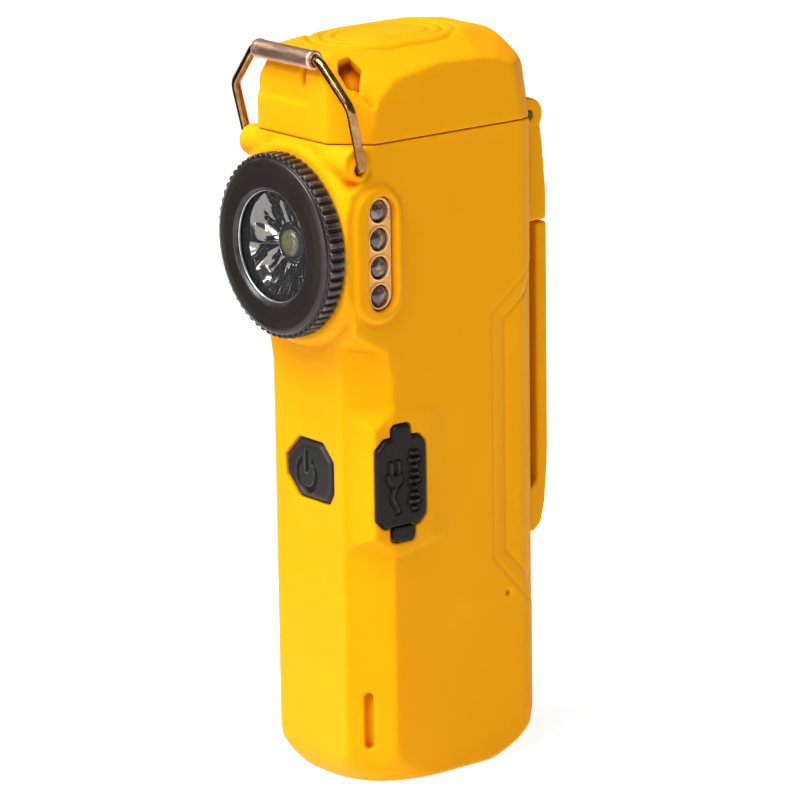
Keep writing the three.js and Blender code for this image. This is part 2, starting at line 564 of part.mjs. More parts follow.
// ---- belt clip ----------------------------------------------------------------------------------
const clipStrap = prism([
  [28.7, 123.4], [28.7, 63.4], [27.8, 62.2], [26.3, 61], [26.3, 51.6], [27.3, 50.4], [29.7, 52.4],
  [30.9, 57], [31.5, 63], [31.9, 70], [31.9, 123.4]
], 'x', -CLIP_HALF_W, CLIP_HALF_W)
const clipKnuckles = [-1, 1].map((side) => {
  const [low, high] = [side * 3.5, side * 9].sort((a, b) => a - b)
  return union([
    turned(rod(2.1, low, high), 'x', CLIP_AXIS, 24),
    prism([[28.7, 123], [31.7, 123], [31.7, CLIP_AXIS[1]], [28.7, CLIP_AXIS[1]]], 'x', low, high)
  ])
})
piece('belt_clip', 'yellow_plastic', cut(
  union([clipStrap, ...clipKnuckles]), [turned(rod(1.15, -10, 10), 'x', CLIP_AXIS, 20)]))
piece('clip_pin', 'steel', turned(rod(1, -13.4, 13.4), 'x', CLIP_AXIS, 20))
const torsionPath = Array.from({ length: 41 }, (_, i) => {
  const angle = 2 * Math.PI * i / 10
  const [y, z] = CLIP_AXIS
  return new THREE.Vector3(-3 + 6 * i / 40, y + 1.7 * Math.cos(angle), z + 1.7 * Math.sin(angle))
})
piece('clip_spring', 'steel', alongPath(new THREE.CatmullRomCurve3(torsionPath), 0.4, 48, 6))

export default lamp
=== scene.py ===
import json
import math

import bmesh
import bpy
import numpy as np
import openvdb
from mathutils import Matrix, Vector


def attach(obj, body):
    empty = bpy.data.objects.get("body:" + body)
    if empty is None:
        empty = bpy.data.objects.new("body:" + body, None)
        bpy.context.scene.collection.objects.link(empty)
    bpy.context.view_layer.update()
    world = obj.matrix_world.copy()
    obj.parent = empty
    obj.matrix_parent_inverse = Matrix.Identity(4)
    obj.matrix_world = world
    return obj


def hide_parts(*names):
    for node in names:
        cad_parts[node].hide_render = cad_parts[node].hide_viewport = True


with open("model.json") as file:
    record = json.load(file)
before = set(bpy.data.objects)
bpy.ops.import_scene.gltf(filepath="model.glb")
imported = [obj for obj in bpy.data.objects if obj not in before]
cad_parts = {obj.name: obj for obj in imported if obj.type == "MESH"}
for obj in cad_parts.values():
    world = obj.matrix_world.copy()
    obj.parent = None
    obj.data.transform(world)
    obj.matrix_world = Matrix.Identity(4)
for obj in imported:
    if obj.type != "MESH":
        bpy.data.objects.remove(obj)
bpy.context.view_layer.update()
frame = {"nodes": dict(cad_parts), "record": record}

# Right-angle safety lamp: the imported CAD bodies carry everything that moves, and this script gives
# them their finished surfaces, materials, floor, light and camera. Lengths are in millimetres until
# a mesh is made, in the CAD's own frame: +Z up, the lamp shines along -Y, the ports are on +X.

MM = 0.001

# ---- driving dimensions ---------------------------------------------------------------------
HALF_W = 20.0
BACK_Y = 26.0
FRONT_FLAT = 12.4
BACK_R = 6.6
WALL = 2.4
SEAM_Z = 149.15
LID_Z = 149.35
LID_FRONT_Y = -29.3
# Heights at which the front's slope changes, the front's y and the y where the chamfers meet the sides.
SWELL_Z = [-5.0, 95.4, 107.3, 149.1, 175.0]
SWELL_FRONT = [-26.3, -26.3, -28.0, -29.2, -29.2]
SWELL_SIDE = [-17.6, -17.6, -20.2, -21.6, -21.6]

LAMP_Z = 125.2
COLLAR_R = 22.8
BEZEL_R = 20.9
BEZEL_RIBS = 60
BUTTON_X, BUTTON_Z = 0.3, 72.4
BUTTON_HALF_W, BUTTON_HALF_H = 8.5, 6.7
BUTTON_Y = -26.6
PORT_Y, PORT_Z = -15.75, 71.8
SIDE_Y, SIDE_Z, SIDE_PITCH = -20.3, 124.6, 6.4
BAIL_PIVOT = (-25.6, 144.2)
BAIL_BAR = (-30.2, 167.8)
WIRE_R = 1.1
LID_AXIS = (26.9, 148.7)
CLIP_AXIS = (29.6, 126.4)
CLIP_HALF_W = 15.0
CLIP_INNER_Y, CLIP_OUTER_Y = 28.7, 31.9
TUBE_Y = 10.0
TETHER_SLOT = (15.9, -22.5, 15.6)  # middle of the slot in the right chamfer
DIP_REACH = 1.6  # how far the painted shade of pockets and slots reaches around itself
FAR = 6.0  # distances from a surface are kept up to this

CAMERA_AZIMUTH, CAMERA_ELEVATION, CAMERA_ROLL = 51.58, 14.73, -0.79
CAMERA_PLACE = (0.80909, -0.6414, 0.35538)
CAMERA_LENS = 210.5


# ---- shapes as signed distances -------------------------------------------------------------
# A shape is a box that holds it and a function of open x, y, z arrays, negative inside.
def eased_max(a, b, blend):
    """Maximum of two distances whose meeting edge is rounded over blend."""
    overlap = np.maximum(blend - np.abs(a - b), 0)
    return np.maximum(a, b) + overlap * overlap / (4 * blend)


def soft_max(a, b, blend):
    return eased_max(a, b, blend) if blend > 0 else np.maximum(a, b)


def soft_min(a, b, blend):
    return -soft_max(-a, -b, blend)


def outline_distance(points, u, v):
    """Signed distance from (u, v) to a closed outline."""
    nearest = np.float32(1e9)
    inside = False
    for (au, av), (bu, bv) in zip(points, points[1:] + points[:1]):
        eu, ev = bu - au, bv - av
        along = np.clip(((u - au) * eu + (v - av) * ev) / (eu * eu + ev * ev), 0, 1)
        gap = (u - au - along * eu) ** 2 + (v - av - along * ev) ** 2
        nearest = np.minimum(nearest, gap)
        if ev:
            inside = inside ^ (((av > v) != (bv > v)) & (u < eu * (v - av) / ev + au))
    return np.where(inside, -1, 1) * np.sqrt(nearest)


def split(axis, x, y, z):
    """The two coordinates across an axis, in x, y, z order, and the one along it."""
    if axis == "x":
        return y, z, x
    if axis == "y":
        return x, z, y
    return x, y, z


def gather(axis, us, vs, ws):
    """Corners of the box that spans the given ranges across and along an axis."""
    low, high = (min(us), min(vs), min(ws)), (max(us), max(vs), max(ws))
    order = {"x": (2, 0, 1), "y": (0, 2, 1), "z": (0, 1, 2)}[axis]
    return [low[i] for i in order], [high[i] for i in order]


def prism(outline, axis, start, stop):
    middle, half = (start + stop) / 2, abs(stop - start) / 2

    def distance(x, y, z):
        u, v, w = split(axis, x, y, z)
        return np.maximum(outline_distance(outline, u, v), np.abs(w - middle) - half)

    return gather(axis, [p[0] for p in outline], [p[1] for p in outline], [start, stop]), distance


def turned(profile, axis, centre):
    """Turns an outline of (radius, along) points about an axis."""
    reach = max(p[0] for p in profile)

    def distance(x, y, z):
        u, v, w = split(axis, x, y, z)
        return outline_distance(profile, np.hypot(u - centre[0], v - centre[1]), w)

    spans = [[c - reach, c + reach] for c in centre]
    return gather(axis, *spans, [p[1] for p in profile]), distance


def rod(radius, start, stop, axis, centre):
    middle, half = (start + stop) / 2, abs(stop - start) / 2

    def distance(x, y, z):
        u, v, w = split(axis, x, y, z)
        return np.maximum(np.hypot(u - centre[0], v - centre[1]) - radius, np.abs(w - middle) - half)

    spans = [[c - radius, c + radius] for c in centre]
    return gather(axis, *spans, [start, stop]), distance


def block(low, high):
    outline = [(low[0], low[1]), (high[0], low[1]), (high[0], high[1]), (low[0], high[1])]
    return prism(outline, "z", low[2], high[2])


def hull(points):
    """Convex body around points, as the flats that bound it."""
    bm = bmesh.new()
    for point in points:
        bm.verts.new(point)
    bmesh.ops.convex_hull(bm, input=bm.verts)
    bm.normal_update()
    flats = {}
    for face in bm.faces:
        normal = face.normal
        offset = normal.dot(face.verts[0].co)
        flats[tuple(round(c, 3) for c in (*normal, offset))] = (*normal, offset)
    bm.free()
    low = [min(p[i] for p in points) for i in range(3)]
    high = [max(p[i] for p in points) for i in range(3)]

    def distance(x, y, z):
        deepest = np.float32(-1e9)
        for a, b, c, d in flats.values():
            deepest = np.maximum(deepest, a * x + b * y + (c * z - d))
        return deepest

    return (low, high), distance


def mirrored(shape):
    (low, high), distance = shape
    box = ([-high[0], low[1], low[2]], [-low[0], high[1], high[2]])
    return box, lambda x, y, z: distance(-x, y, z)


def arc(centre, radius, start, stop, steps):
    angles = np.radians(np.linspace(start, stop, steps + 1))
    return [(centre[0] + radius * math.cos(a), centre[1] + radius * math.sin(a)) for a in angles]


def stadium(a, b, half_width, half_length, steps=12):
    reach = half_length - half_width
    return (arc((a, b + reach), half_width, 0, 180, steps)
            + arc((a, b - reach), half_width, 180, 360, steps))


def octagon(a, b, half_w, half_h, corner):
    return [(a - half_w + corner, b - half_h), (a + half_w - corner, b - half_h),
            (a + half_w, b - half_h + corner), (a + half_w, b + half_h - corner),
            (a + half_w - corner, b + half_h), (a - half_w + corner, b + half_h),
            (a - half_w, b + half_h - corner), (a - half_w, b - half_h + corner)]


def plan(inset, front, side_start, back=BACK_Y, back_radius=BACK_R):
    """Outline of the body seen from above, moved inwards by inset."""
    w = HALF_W - inset
    flat = FRONT_FLAT - 0.41 * inset
    side = side_start + 0.41 * inset
    r = max(back_radius - inset, 1.5)
    return ([(-flat, front + inset), (flat, front + inset), (w, side)]
            + arc((w - r, back - inset - r), r, 0, 90, 6)
            + arc((r - w, back - inset - r), r, 90, 180, 6)
            + [(-w, side)])


def at_height(outline, z):
    return [(x, y, z) for x, y in outline]


class Clay:
    """A block of signed distances that shapes are joined to, cut from and softened in."""

    def __init__(self, low, high, step):
        self.step = step
        self.low = np.array(low, np.float32)
        self.axes = [np.arange(a, b + step, step, dtype=np.float32) for a, b in zip(low, high)]
        self.field = np.full([len(a) for a in self.axes], FAR, np.float32)
        self.core = None  # the hollow inside a thin wall, which the edge and dip attributes ignore

    def window(self, box, margin):
        """Where a box with a margin lies in the field, and the x, y, z coordinates there."""
        slices, coords = [], []
        for i, values in enumerate(self.axes):
            first, last = np.searchsorted(values, [box[0][i] - margin, box[1][i] + margin])
            slices.append(slice(first, last))
            shape = [1, 1, 1]
            shape[i] = -1
            coords.append(values[first:last].reshape(shape))
        return tuple(slices), coords

    def join(self, shape, blend=0.0):
        box, distance = shape
        where, coords = self.window(box, 2 + blend)
        self.field[where] = soft_min(self.field[where], distance(*coords), blend)
        return self

    def cut(self, shape, blend=0.0):
        box, distance = shape
        where, coords = self.window(box, 2 + blend)
        self.field[where] = soft_max(self.field[where], -distance(*coords), blend)
        return self

    def blurred(self, field, sigma):
        """A field smoothed over a distance in mm, which rounds its edges and hollows."""
        reach = int(math.ceil(2.5 * sigma / self.step))
        weights = np.exp(-0.5 * (np.arange(-reach, reach + 1) * self.step / sigma) ** 2)
        weights /= weights.sum()
        for axis in range(3):
            padded = np.pad(field, [(reach, reach) if i == axis else (0, 0) for i in range(3)], "edge")
            field = np.zeros_like(self.field)
            for i, weight in enumerate(weights):
                part = [slice(None)] * 3
                part[axis] = slice(i, i + field.shape[axis])
                field += np.float32(weight) * padded[tuple(part)]
        return field

    def soften(self, sigma):
        self.field = self.blurred(self.field, sigma)
        return self

    def sample(self, field, points):
        """Field values at points given in grid steps."""
        top = np.array(field.shape) - 2
        base = np.clip(np.floor(points).astype(np.int32), 0, top)
        part = (points - base).astype(np.float32)
        value = np.zeros(len(points), np.float32)
        for corner in range(8):
            bits = np.array([corner >> 2 & 1, corner >> 1 & 1, corner & 1])
            weight = np.prod(np.where(bits, part, 1 - part), axis=1)
            i, j, k = (base + bits).T
            value += weight * field[i, j, k]
        return value

    def slope(self, field, points):
        """Unit directions in which the field rises fastest."""
        rise = [self.sample(field, points + d) - self.sample(field, points - d) for d in 0.5 * np.eye(3)]
        normals = np.stack(rise, axis=1)
        return normals / np.maximum(np.linalg.norm(normals, axis=1, keepdims=True), 1e-6)

    def mesh(self, name):
        """Mesh of the surface, with how sharp and how sunken each point is as attributes."""
        grid = openvdb.FloatGrid(FAR)
        grid.copyFromArray(np.ascontiguousarray(np.clip(self.field, -FAR, FAR)))
        points, triangles, quads = grid.convertToPolygons(isovalue=0.0, adaptivity=0.0)
        points = points.astype(np.float64)
        for _ in range(2):
            normals = self.slope(self.field, points)
            points -= normals * (self.sample(self.field, points) / self.step)[:, None]
        normals = self.slope(self.field, points)
        corners = points[quads[:, :3]]
        across = np.cross(corners[:, 1] - corners[:, 0], corners[:, 2] - corners[:, 0])
        if np.sum(across * normals[quads[:, 0]]) < 0:
            triangles, quads = triangles[:, ::-1], quads[:, ::-1]
        mesh = bpy.data.meshes.new(name)
        mesh.from_pydata((points * self.step + self.low) * MM, [], triangles.tolist() + quads.tolist())
        mesh.shade_smooth()
        mesh.normals_split_custom_set_from_vertices(normals)
        solid = self.field.copy()
        if self.core:
            where, coords = self.window(self.core[0], 0)
            solid[where] = np.minimum(solid[where], self.core[1](*coords))
        for label, sigma in (("edge", 2.5 * self.step), ("dip", DIP_REACH)):
            sharpness = mesh.attributes.new(label, "FLOAT", "POINT")
            sharpness.data.foreach_set("value", self.sample(self.blurred(solid, sigma), points))
        return mesh


# ---- pieces ---------------------------------------------------------------------------------
def place(name, data, look, body, nodes=()):
    """Makes an object, gives it its material, and lets it stand for CAD nodes on a body."""
    piece = bpy.data.objects.new(name, data)
    bpy.context.scene.collection.objects.link(piece)
    data.materials.append(LOOKS[look])
    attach(piece, body)
    if nodes:
        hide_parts(*nodes)


def lathe(name, profile, axis, centre, segments=96):
    """Smooth mesh of a closed outline of (radius, along) points turned about an axis."""
    rings = []
    for k in range(segments):
        angle = 2 * math.pi * k / segments
        for r, along in profile:
            u = centre[0] + r * math.cos(angle)
            v = centre[1] + r * math.sin(angle)
            rings.append({"x": (along, u, v), "y": (u, along, v), "z": (u, v, along)}[axis])
    n = len(profile)
    faces = []
    for k in range(segments):
        for i in range(n):
            a, b = k * n + i, k * n + (i + 1) % n
            c, d = (k + 1) % segments * n + (i + 1) % n, (k + 1) % segments * n + i
            faces.append((a, b, c, d))
    mesh = bpy.data.meshes.new(name)
    mesh.from_pydata([Vector(p) * MM for p in rings], [], faces)
    bm = bmesh.new()
    bm.from_mesh(mesh)
    bmesh.ops.remove_doubles(bm, verts=bm.verts, dist=1e-7)
    bmesh.ops.dissolve_degenerate(bm, edges=bm.edges, dist=1e-7)
    bmesh.ops.recalc_face_normals(bm, faces=bm.faces)
    bm.to_mesh(mesh)
    bm.free()
    mesh.shade_smooth()
    return mesh


def finish_edges(piece, width):
    """Rounds a piece's edges by a width in mm and keeps its flats flat."""
    bevel = piece.modifiers.new("edge_round", "BEVEL")
    bevel.width = width * MM
    bevel.segments = 2
    bevel.limit_method = "ANGLE"
    bevel.angle_limit = math.radians(32)
    bevel.harden_normals = False
    weighted = piece.modifiers.new("flat_shading", "WEIGHTED_NORMAL")
    weighted.keep_sharp = False


def round_wire(name, points, radius):
    """Round wire along points, as a curve."""
    curve = bpy.data.curves.new(name, "CURVE")
    curve.dimensions = "3D"
    curve.bevel_depth = radius * MM
    curve.bevel_resolution = 5
    curve.use_fill_caps = True
    spline = curve.splines.new("POLY")
    spline.points.add(len(points) - 1)
    for target, point in zip(spline.points, points):
        target.co = (*(Vector(point) * MM), 1)
    spline.use_smooth = True
    return curve


def rounded_path(corners, reach, steps=8):
    """Points along straight runs with each corner rounded over the given reach."""
    corners = [Vector(c) for c in corners]
    path = [corners[0]]
    for before, corner, after in zip(corners, corners[1:], corners[2:]):
        start = corner + (before - corner).normalized() * reach
        end = corner + (after - corner).normalized() * reach
        for i in range(steps + 1):
            t = i / steps
            path.append(start * (1 - t) ** 2 + corner * 2 * t * (1 - t) + end * t * t)
    return path + [corners[-1]]


# ---- materials ------------------------------------------------------------------------------
class Look:
    """One procedural material built around a Principled shader."""

    def __init__(self, name, **constants):
        self.material = bpy.data.materials.new(name)
        self.material.use_nodes = True
        self.nodes = self.material.node_tree.nodes
        self.links = self.material.node_tree.links
        self.shader = self.nodes["Principled BSDF"]
        for socket, value in constants.items():
            self.shader.inputs[socket.replace("_", " ")].default_value = value
        self.place = self.add("ShaderNodeTexCoord").outputs["Object"]
        self.normal = None

    def add(self, kind, inputs=None, **settings):
        node = self.nodes.new(kind)
        for key, value in settings.items():
            setattr(node, key, value)
        for key, value in (inputs or {}).items():
            if isinstance(value, bpy.types.NodeSocket):
                self.links.new(value, node.inputs[key])
            else:
                node.inputs[key].default_value = value
        return node

    def noise(self, scale, detail=3.0, stretch=(1, 1, 1), where=None):
        moved = self.add("ShaderNodeMapping", {"Vector": where or self.place, "Scale": stretch})
        return self.add("ShaderNodeTexNoise", {"Vector": moved.outputs[0], "Scale": scale,
                                               "Detail": detail}).outputs["Fac"]

    def ranged(self, value, low, high, to_low=0.0, to_high=1.0):
        return self.add("ShaderNodeMapRange", {"Value": value, "From Min": low, "From Max": high,
                                               "To Min": to_low, "To Max": to_high}).outputs[0]

    def math(self, operation, a, b=0.0):
        return self.add("ShaderNodeMath", {0: a, 1: b}, operation=operation).outputs[0]

    def mix(self, factor, a, b):
        a = (*a, 1) if isinstance(a, tuple) else a
        b = (*b, 1) if isinstance(b, tuple) else b
        return self.add("ShaderNodeMix", {0: factor, 6: a, 7: b}, data_type="RGBA").outputs[2]

    def edges(self, low, high, label="edge"):
        """Rises from 0 to 1 between two sharpnesses of the surface, in mm; hollows are negative."""
        sharpness = self.add("ShaderNodeAttribute", attribute_name=label).outputs["Fac"]
        return self.ranged(sharpness, low, high)

    def colour(self, value):
        self.links.new(value, self.shader.inputs["Base Color"])
        return self

    def roughness(self, low, high, scale=90.0, stretch=(1, 1, 1)):
        value = self.ranged(self.noise(scale, 4.0, stretch), 0.3, 0.7, low, high)
        self.links.new(value, self.shader.inputs["Roughness"])
        return self

    def bump(self, height, depth, strength=1.0):
        inputs = {"Height": height, "Distance": depth * MM, "Strength": strength}
        if self.normal:
            inputs["Normal"] = self.normal
        self.normal = self.add("ShaderNodeBump", inputs).outputs[0]
        self.links.new(self.normal, self.shader.inputs["Normal"])
        return self


def moulded(name, low, high, hollow, worn_and_highlit, roughness, grain, **constants):
    """Moulded plastic or rubber: clouded colour and fine grain, with painted shade darkening creases,
    hollows and pockets, and sharp edges made paler by wear and by a painted highlight.
    """
    look = Look(name, **constants)
    base = look.mix(look.noise(70, 4.0), low, high)
    # Painted shade: concave creases take the darker hollow colour, and pockets and slots darken further by
    # their dip.
    base = look.mix(look.edges(-0.05, -0.3), base, hollow)
    base = look.mix(look.edges(-0.28, -0.85, "dip"), base, tuple(0.45 * c for c in hollow))
    # Sharp edges turn paler, partly as wear and partly as a painted highlight on crests such as the bezel's
    # ribs.
    rubbed_and_highlit = look.math("MULTIPLY", look.edges(0.1, 0.5), look.ranged(look.noise(400), 0.35, 0.65))
    look.colour(look.mix(rubbed_and_highlit, base, worn_and_highlit))
    look.roughness(*roughness)
    look.bump(look.noise(2600, 2.0), grain)
    look.bump(look.noise(160, 2.0), grain, 0.5)
    return look


def metal(name, low, high, roughness, stretch, **constants):
    """Metal with streaks along its drawing or brushing direction."""
    look = Look(name, Metallic=1.0, **constants)
    streaks = look.noise(500, 5.0, stretch)
    stains = look.noise(120, 3.0)
    look.colour(look.mix(look.ranged(look.math("MULTIPLY", streaks, stains), 0.12, 0.4), low, high))
    look.roughness(*roughness, 700.0, stretch)
    look.bump(streaks, 0.012)
    return look


def around_lamp(look, turns, spread):
    """Coordinates that run round the lamp's axis, for marks that radiate from it."""
    parts = look.add("ShaderNodeSeparateXYZ", {0: look.place}).outputs
    height = look.math("SUBTRACT", parts[2], LAMP_Z * MM)
    angle = look.math("ARCTAN2", parts[0], height)
    radius = look.math("SQRT", look.math("ADD", look.math("POWER", parts[0], 2.0),
                                         look.math("POWER", height, 2.0)))
    return look.add("ShaderNodeCombineXYZ", {0: look.math("MULTIPLY", angle, turns),
                                             1: look.math("MULTIPLY", radius, spread)}).outputs[0]


def mirror_coat():
    look = Look("mirror_coat", Metallic=1.0)
    around = around_lamp(look, 1.0, 60.0)
    facets = look.noise(2.2, 1.0, where=around)
    # Painted shade: the mirror's colour is kept low and grey so that what it reflects comes out dark.
    look.colour(look.mix(look.noise(200), (0.22, 0.205, 0.19), (0.34, 0.32, 0.3)))
    look.roughness(0.05, 0.14, 300.0)
    look.bump(facets, 3.0, 1.0)
    return look


def emitter():
    look = Look("emitter", Roughness=0.32, Coat_Weight=0.7, Coat_Roughness=0.12)
    grain = look.add("ShaderNodeTexVoronoi", {"Vector": look.place, "Scale": 2600.0}).outputs["Distance"]
    base = look.mix(look.noise(900), (0.06, 0.062, 0.025), (0.16, 0.155, 0.07))
    look.colour(look.mix(look.ranged(grain, 0.1, 0.6), (0.26, 0.25, 0.13), base))
    look.bump(grain, 0.03)
    return look


def smoke_led():
    look = Look("smoke_led", Coat_Weight=1.0, Coat_Roughness=0.06)
    # Painted highlight: pale noisy blobs stand for glints inside the dark lens.
    inner = look.ranged(look.noise(620, 2.0), 0.5, 0.68)
    look.colour(look.mix(inner, (0.06, 0.032, 0.03), (0.34, 0.24, 0.22)))
    look.roughness(0.2, 0.34, 500.0)
    look.bump(look.noise(900, 1.0), 0.03)
    return look


def amber_window():
    look = Look("amber_window", Coat_Weight=0.5, Coat_Roughness=0.15)
    base = look.mix(look.noise(260), (0.8, 0.38, 0.03), (0.92, 0.48, 0.07))
    # Painted highlight: the sharp rims and the rings round the lights are lightened towards pale orange.
    look.colour(look.mix(look.edges(0.02, 0.2), base, (0.98, 0.66, 0.38)))
    look.roughness(0.25, 0.4, 400.0)
    look.bump(look.noise(1500, 2.0), 0.012)
    return look


def clear_lens():
    look = Look("clear_lens", Alpha=0.1, IOR=1.49, Coat_Weight=1.0, Coat_Roughness=0.03)
    look.colour(look.mix(look.noise(90), (0.06, 0.065, 0.07), (0.12, 0.125, 0.13)))
    look.roughness(0.02, 0.07, 150.0)
    look.bump(look.noise(260, 2.0), 0.004)
    look.material.surface_render_method = "BLENDED"
    return look


def circuit_board():
    look = Look("circuit_board", Coat_Weight=0.4, Coat_Roughness=0.2)
    tracks = look.add("ShaderNodeTexBrick", {"Vector": look.place, "Scale": 420.0, "Mortar Size": 0.06})
    pads = look.add("ShaderNodeTexVoronoi", {"Vector": look.place, "Scale": 330.0}).outputs["Distance"]
    base = look.mix(tracks.outputs["Fac"], (0.012, 0.12, 0.045), (0.03, 0.26, 0.1))
    look.colour(look.mix(look.ranged(pads, 0.12, 0.09), base, (0.55, 0.42, 0.2)))
    look.roughness(0.3, 0.5)
    look.bump(tracks.outputs["Fac"], 0.03)
    return look


def cell_wrap():
    look = Look("cell_wrap", Coat_Weight=0.3)
    bands = look.add("ShaderNodeTexWave", {"Vector": look.place, "Scale": 28.0, "Distortion": 0.4},
                     bands_direction="Z").outputs["Fac"]
    base = look.mix(look.noise(150), (0.03, 0.11, 0.33), (0.06, 0.2, 0.5))
    look.colour(look.mix(look.ranged(bands, 0.93, 0.97), base, (0.5, 0.55, 0.6)))
    look.roughness(0.28, 0.42)
    look.bump(look.noise(300, 3.0), 0.03)
    return look


def insulation(name, low, high):
    look = Look(name)
    look.colour(look.mix(look.noise(600), low, high))
    look.roughness(0.35, 0.5, 500.0)
    look.bump(look.noise(1500, 2.0), 0.01)
    return look


def pale_floor():
    look = Look("pale_floor", Specular_IOR_Level=0.1, Emission_Color=(1, 1, 1, 1),
                Emission_Strength=0.86)
    look.colour(look.mix(look.noise(6, 2.0), (0.4, 0.4, 0.4), (0.43, 0.43, 0.43)))
    look.roughness(0.85, 0.95, 20.0)
    return look


# In each moulded look the third colour is painted shade for creases, hollows and pockets; the fourth
# lightens sharp edges, partly as wear and partly as a painted highlight.
LOOKS = {
    "yellow_plastic": moulded(
        "yellow_plastic", (0.80, 0.325, 0.002), (0.86, 0.365, 0.004), (0.66, 0.17, 0.001),
        (0.87, 0.37, 0.004), (0.46, 0.58), 0.01, Specular_IOR_Level=0.1,
        Specular_Tint=(1.0, 0.7, 0.05, 1.0)),
    "black_plastic": moulded(
        "black_plastic", (0.013, 0.009, 0.008), (0.02, 0.015, 0.014), (0.004, 0.002, 0.002),
        (0.22, 0.19, 0.16), (0.26, 0.38), 0.01, Specular_IOR_Level=0.4),
    "black_rubber": moulded(
        "black_rubber", (0.005, 0.003, 0.002), (0.011, 0.008, 0.007), (0.001, 0.001, 0.001),
        (0.13, 0.11, 0.1), (0.4, 0.55), 0.02, Specular_IOR_Level=0.18),
    "button_rubber": moulded(
        "button_rubber", (0.012, 0.01, 0.009), (0.024, 0.021, 0.02), (0.002, 0.001, 0.001),
        (0.16, 0.145, 0.135), (0.4, 0.55), 0.02, Specular_IOR_Level=0.33),
    "inner_plastic": moulded(
        "inner_plastic", (0.2, 0.205, 0.21), (0.27, 0.275, 0.28), (0.12, 0.12, 0.12),
        (0.36, 0.36, 0.37), (0.45, 0.6), 0.015),
    "copper_wire": metal(
        "copper_wire", (0.2, 0.09, 0.03), (0.5, 0.29, 0.13), (0.13, 0.2), (1, 1, 1)),
    "copper_sleeve": metal(
        "copper_sleeve", (0.54, 0.31, 0.21), (0.84, 0.58, 0.44), (0.36, 0.48), (0.3, 2, 2)),
    "steel": metal("steel", (0.03, 0.026, 0.022), (0.1, 0.09, 0.08), (0.3, 0.42), (1, 1, 1)),
    "aluminium": metal("aluminium", (0.5, 0.51, 0.52), (0.78, 0.79, 0.8), (0.3, 0.45), (1, 6, 1)),
    "clear_lens": clear_lens(),
    "mirror_coat": mirror_coat(),
    "amber_window": amber_window(),
    "smoke_led": smoke_led(),
    "emitter": emitter(),
    "circuit_board": circuit_board(),
    "cell_wrap": cell_wrap(),
    "lead_red": insulation("lead_red", (0.4, 0.02, 0.015), (0.6, 0.05, 0.03)),
    "lead_black": insulation("lead_black", (0.015, 0.015, 0.015), (0.04, 0.04, 0.04)),
}
LOOKS = {name: look.material for name, look in LOOKS.items()}


# ---- housing --------------------------------------------------------------------------------
def lower_walls(clay):
    """Outer walls as the flats that bound them, each drawn in towards the bottom edge."""
    x, y, z = clay.window(((-99, -99, -99), (99, 99, 999)), 0)[1]
    across = np.abs(x)
    front = np.interp(z, SWELL_Z, SWELL_FRONT)
    rise = np.interp(z, SWELL_Z, SWELL_SIDE) - front
    run = HALF_W - FRONT_FLAT
    heights = [0, 0.6, 1.6, 3.2, 6, 10]
    front_in = np.interp(z, heights, [2.9, 2.5, 1.9, 1, 0.2, 0])
    chamfer_in = np.interp(z, heights, [3.4, 2.8, 2, 0.9, 0.1, 0])
    side_in = np.interp(z, heights, [0.7, 0.2, 0.1, 0, 0, 0])
    back_in = np.interp(z, heights, [11.4, 9.5, 7.3, 3.8, 0.8, 0])
    easing = np.interp(z, heights, [7, 6.3, 5.3, 4.2, 1.4, 0.01])
    u = across + side_in - (HALF_W - BACK_R)
    v = y + back_in - (BACK_Y - BACK_R)
    body = np.hypot(np.maximum(u, 0), np.maximum(v, 0)) + np.minimum(np.maximum(u, v), 0) - BACK_R
    chamfer = ((across - FRONT_FLAT) * rise - (y - front) * run) / np.hypot(rise, run) + chamfer_in
    body = eased_max(eased_max(body, chamfer, easing), front + front_in - y, easing)
    body = np.maximum(body, -z)
    clay.field = body.astype(np.float32)


def grip_contour(x, y, z):
    """Goes from 0 outside the hand grip on the sides to 1 past its sloping border."""
    border = [(11.3, 48.2), (21.3, 37), (60, 20), (60, 130), (21.9, 114.5), (11.3, 106.4)]
    inside = -outline_distance(border, y, z)
    lines = sum(np.exp(-((inside - line) / 0.45) ** 2) for line in (0.3, 4.2))
    return np.clip(inside / 4.2, 0, 1) + 0.45 * lines


def tether_slot(clay):
    """Upright round-ended slot, sunk square into the right chamfer."""
    middle_x, middle_y, middle_z = TETHER_SLOT
    where, (x, y, z) = clay.window(((12, -27, 8), (20, -18, 23)), 1)
    along = ((x - middle_x) + (y - middle_y)) * math.sqrt(0.5)
    depth = ((x - middle_x) - (y - middle_y)) * math.sqrt(0.5)
    slot = np.hypot(along, np.maximum(np.abs(z - middle_z) - 5.7, 0)) - 1
    slot = np.maximum(slot, np.abs(depth) - 1.9)
    clay.field[where] = soft_max(clay.field[where], -slot, 0.3)


